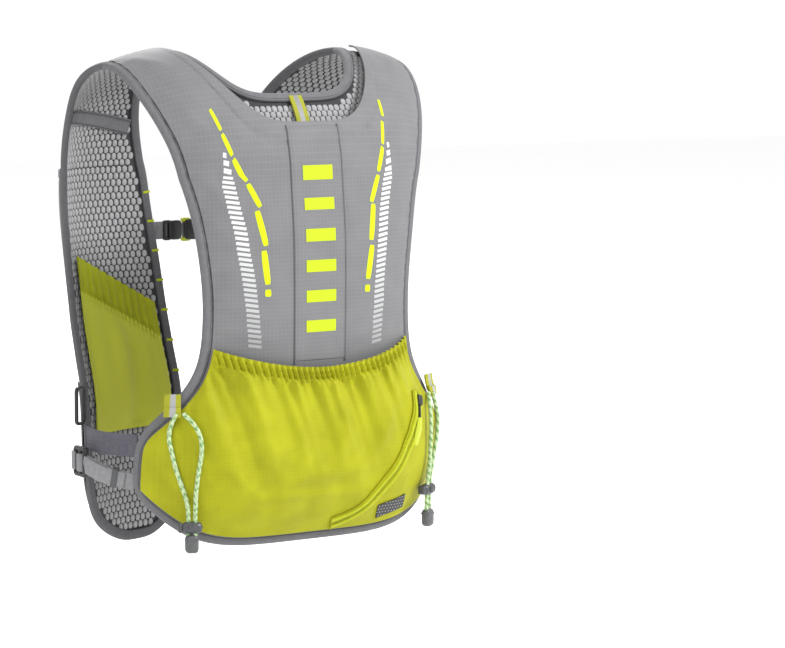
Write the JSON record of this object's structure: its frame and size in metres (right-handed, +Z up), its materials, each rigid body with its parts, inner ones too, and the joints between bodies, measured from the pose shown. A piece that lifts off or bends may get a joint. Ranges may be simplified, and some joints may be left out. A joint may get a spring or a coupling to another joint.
{
  "type": "hydration pack",
  "caption": "Running vest in its worn form: padded mesh body, bladder sleeve, gathered back pocket, flask and stretch pockets, chest straps and hanging elastic loops.",
  "frame": {"origin": "midpoint between the two shoulder seats, on the inner surface of the shoulder straps at their ridge; the vest hangs from here when it is worn", "axes": "+Z up; the wearer faces -Y, so the back is at +Y; +X is the wearer's left"},
  "size_m": [0.3316, 0.2418, 0.4113],
  "materials": {
    "ripstop": "light grey ripstop cloth with a fine grid",
    "lime": "lime stretch cloth",
    "spacer": "grey honeycomb spacer mesh",
    "binding": "grey edge tape, folded and stitched",
    "webbing": "grey woven webbing and ribbed elastic",
    "plastic": "black moulded plastic",
    "cord": "pale green speckled braided cord",
    "reflective": "reflective tape",
    "orange": "orange moulded plastic"
  },
  "bodies": {
    "root": {"bladder_sleeve": "ripstop", "centre_panel": "ripstop", "outer_pocket_left": "ripstop", "flask_pocket_left": "ripstop", "flask_pocket_right": "ripstop", "back_pocket": "lime", "bladder_loop": "lime", "back_zip_tape": "lime", "back_zip_pull": "lime", "front_zip_tape": "lime", "lower_pocket_left": "lime", "lower_pocket_right": "lime", "inner_pocket_left": "lime", "inner_pocket_right": "lime", "bottom_loop_left": "lime", "bottom_loop_right": "lime", "bungee_tab_left": "lime", "bungee_tab_right": "lime", "back_panel": "spacer", "front_panel_left": "spacer", "front_panel_right": "spacer", "back_binding": "binding", "neck_binding": "binding", "front_binding_left": "binding", "front_binding_right": "binding", "daisy_strip_left": "webbing", "daisy_strip_right": "webbing", "side_elastic_left": "webbing", "side_elastic_right": "webbing", "side_strap_left": "webbing", "side_strap_right": "webbing", "lock_tab_left": "webbing", "lock_tab_right": "webbing", "upper_strap_right": "webbing", "upper_strap_left": "webbing", "lower_strap_right": "webbing", "lower_strap_left": "webbing", "back_zip_slider": "plastic", "corner_patch": "plastic", "front_zip_slider": "plastic", "front_zip_pull": "plastic", "upper_buckle_female": "plastic", "upper_buckle_male": "plastic", "lower_buckle_female": "plastic", "lower_buckle_male": "plastic", "chest_cord_lock_left": "plastic", "chest_cord_lock_right": "plastic", "cord_lock_left": "plastic", "cord_lock_right": "plastic", "cord_end_left": "plastic", "cord_end_right": "plastic", "ladder_lock_left": "plastic", "ladder_lock_right": "plastic", "slot_loop_left": "plastic", "slot_loop_right": "plastic", "bungee_left": "cord", "bungee_right": "cord", "reflective_tape_left": "reflective", "reflective_tape_right": "reflective", "whistle": "orange"}
  },
  "joints": []
}
